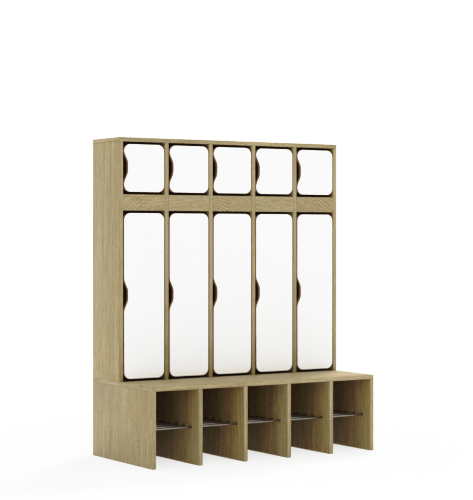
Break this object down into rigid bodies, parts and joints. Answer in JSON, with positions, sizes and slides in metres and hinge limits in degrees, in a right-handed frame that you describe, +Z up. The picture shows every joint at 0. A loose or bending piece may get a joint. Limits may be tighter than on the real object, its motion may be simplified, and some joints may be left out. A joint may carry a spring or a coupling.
{
  "type": "locker cabinet",
  "caption": "Cloakroom locker with narrow bays side by side: small door over tall door in each, wavy finger notches, on a deeper open shoe bench with rods.",
  "frame": {"origin": "on the floor, under the middle of the cabinet's outer box", "axes": "+Z up, doors face -Y, +X to the right of someone facing the doors"},
  "size_m": [1.13, 0.527, 1.372],
  "materials": {
    "oak_laminate": "matt light oak grain laminate with matching edge band",
    "white_board": "satin white face on board with brown routed edges",
    "hardboard": "matt brown hardboard",
    "rod_steel": "bright drawn steel rod",
    "hinge_steel": "nickel-plated pressed steel"
  },
  "bodies": {
    "carcass": {"bench_top": "oak_laminate", "bench_side_left": "oak_laminate", "bench_side_right": "oak_laminate", "bench_divider_1": "oak_laminate", "bench_divider_2": "oak_laminate", "bench_divider_3": "oak_laminate", "bench_divider_4": "oak_laminate", "cabinet_top": "oak_laminate", "cabinet_side_left": "oak_laminate", "cabinet_side_right": "oak_laminate", "cabinet_divider_1": "oak_laminate", "cabinet_divider_2": "oak_laminate", "cabinet_divider_3": "oak_laminate", "cabinet_divider_4": "oak_laminate", "apron_1": "oak_laminate", "apron_2": "oak_laminate", "apron_3": "oak_laminate", "apron_4": "oak_laminate", "apron_5": "oak_laminate", "hat_shelf_1": "oak_laminate", "hat_shelf_2": "oak_laminate", "hat_shelf_3": "oak_laminate", "hat_shelf_4": "oak_laminate", "hat_shelf_5": "oak_laminate", "back_sheet": "hardboard", "shoe_rod_1": "rod_steel", "shoe_rod_2": "rod_steel", "shoe_rod_3": "rod_steel", "shoe_rod_4": "rod_steel", "shoe_rod_5": "rod_steel", "small_door_1_hinge_lower": "hinge_steel", "small_door_1_hinge_upper": "hinge_steel", "tall_door_1_hinge_lower": "hinge_steel", "tall_door_1_hinge_upper": "hinge_steel", "small_door_2_hinge_lower": "hinge_steel", "small_door_2_hinge_upper": "hinge_steel", "tall_door_2_hinge_lower": "hinge_steel", "tall_door_2_hinge_upper": "hinge_steel", "small_door_3_hinge_lower": "hinge_steel", "small_door_3_hinge_upper": "hinge_steel", "tall_door_3_hinge_lower": "hinge_steel", "tall_door_3_hinge_upper": "hinge_steel", "small_door_4_hinge_lower": "hinge_steel", "small_door_4_hinge_upper": "hinge_steel", "tall_door_4_hinge_lower": "hinge_steel", "tall_door_4_hinge_upper": "hinge_steel", "small_door_5_hinge_lower": "hinge_steel", "small_door_5_hinge_upper": "hinge_steel", "tall_door_5_hinge_lower": "hinge_steel", "tall_door_5_hinge_upper": "hinge_steel"},
    "small_door_1": {"small_door_1": "white_board"},
    "tall_door_1": {"tall_door_1": "white_board"},
    "small_door_2": {"small_door_2": "white_board"},
    "tall_door_2": {"tall_door_2": "white_board"},
    "small_door_3": {"small_door_3": "white_board"},
    "tall_door_3": {"tall_door_3": "white_board"},
    "small_door_4": {"small_door_4": "white_board"},
    "tall_door_4": {"tall_door_4": "white_board"},
    "small_door_5": {"small_door_5": "white_board"},
    "tall_door_5": {"tall_door_5": "white_board"}
  },
  "joints": [
    {"name": "small_door_1_swing", "type": "hinge", "parent": "carcass", "child": "small_door_1", "pos_m": [-0.3456, 0.02, 1.24185], "axis": [0, 0, 1], "range_deg": [0, 105]},
    {"name": "tall_door_1_swing", "type": "hinge", "parent": "carcass", "child": "tall_door_1", "pos_m": [-0.3456, 0.02, 0.6985], "axis": [0, 0, 1], "range_deg": [0, 105]},
    {"name": "small_door_2_swing", "type": "hinge", "parent": "carcass", "child": "small_door_2", "pos_m": [-0.1232, 0.02, 1.24185], "axis": [0, 0, 1], "range_deg": [0, 105]},
    {"name": "tall_door_2_swing", "type": "hinge", "parent": "carcass", "child": "tall_door_2", "pos_m": [-0.1232, 0.02, 0.6985], "axis": [0, 0, 1], "range_deg": [0, 105]},
    {"name": "small_door_3_swing", "type": "hinge", "parent": "carcass", "child": "small_door_3", "pos_m": [0.0992, 0.02, 1.24185], "axis": [0, 0, 1], "range_deg": [0, 105]},
    {"name": "tall_door_3_swing", "type": "hinge", "parent": "carcass", "child": "tall_door_3", "pos_m": [0.0992, 0.02, 0.6985], "axis": [0, 0, 1], "range_deg": [0, 105]},
    {"name": "small_door_4_swing", "type": "hinge", "parent": "carcass", "child": "small_door_4", "pos_m": [0.3216, 0.02, 1.24185], "axis": [0, 0, 1], "range_deg": [0, 105]},
    {"name": "tall_door_4_swing", "type": "hinge", "parent": "carcass", "child": "tall_door_4", "pos_m": [0.3216, 0.02, 0.6985], "axis": [0, 0, 1], "range_deg": [0, 105]},
    {"name": "small_door_5_swing", "type": "hinge", "parent": "carcass", "child": "small_door_5", "pos_m": [0.544, 0.02, 1.24185], "axis": [0, 0, 1], "range_deg": [0, 105]},
    {"name": "tall_door_5_swing", "type": "hinge", "parent": "carcass", "child": "tall_door_5", "pos_m": [0.544, 0.02, 0.6985], "axis": [0, 0, 1], "range_deg": [0, 105]}
  ]
}
